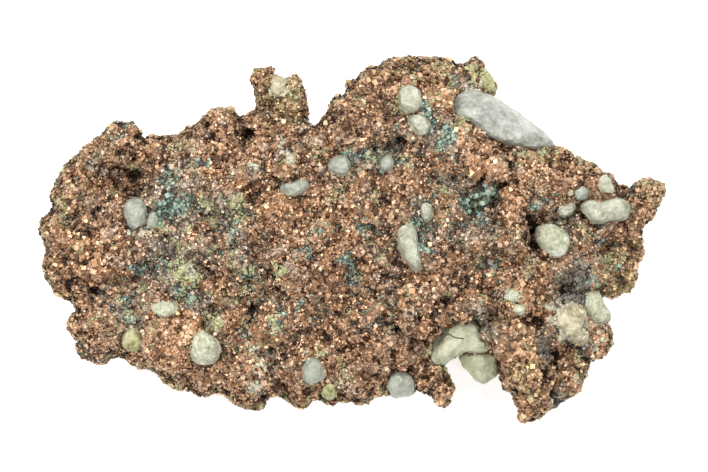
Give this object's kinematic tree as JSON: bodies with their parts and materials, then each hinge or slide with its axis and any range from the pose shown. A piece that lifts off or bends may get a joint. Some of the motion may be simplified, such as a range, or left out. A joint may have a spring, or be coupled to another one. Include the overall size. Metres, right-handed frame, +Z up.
{
  "type": "native copper nugget",
  "caption": "Lumpy nugget of sugary crystalline copper with pale quartz and calcite chips set in it, lying on its broad back.",
  "frame": {"origin": "on the ground, under the middle of the nugget's box", "axes": "+X along the nugget's length, +Y across it towards the tower, +Z up, out of the side that is shown"},
  "size_m": [0.0896, 0.0524, 0.0213],
  "materials": {
    "copper": "tarnished brown crystals, bright copper on their faces",
    "quartz": "milky grey, broken faces, waxy",
    "calcite": "white to cream, sugary, matt",
    "greenstone": "pale green, broken faces, matt",
    "epidote": "yellow-green, granular"
  },
  "bodies": {
    "root": {"copper_mass": "copper", "quartz_shard": "quartz", "quartz_tablet": "quartz", "quartz_sliver": "quartz", "quartz_splinter": "quartz", "quartz_bar": "quartz", "quartz_lens": "quartz", "quartz_chip": "quartz", "quartz_twin": "quartz", "quartz_nodule": "quartz", "quartz_pebble": "quartz", "calcite_boulder": "calcite", "calcite_pebble": "calcite", "calcite_blade": "calcite", "calcite_flake": "calcite", "calcite_knob_right": "calcite", "calcite_knob_left": "calcite", "calcite_cobble": "calcite", "calcite_crust": "calcite", "calcite_knuckle": "calcite", "calcite_drop": "calcite", "calcite_saddle": "calcite", "calcite_grain_upper": "calcite", "calcite_grain_lower": "calcite", "prehnite_slab": "greenstone", "prehnite_chip": "greenstone", "prehnite_wedge": "greenstone", "rock_arch": "greenstone", "rock_tooth": "greenstone", "epidote_crust": "epidote"}
  },
  "joints": []
}
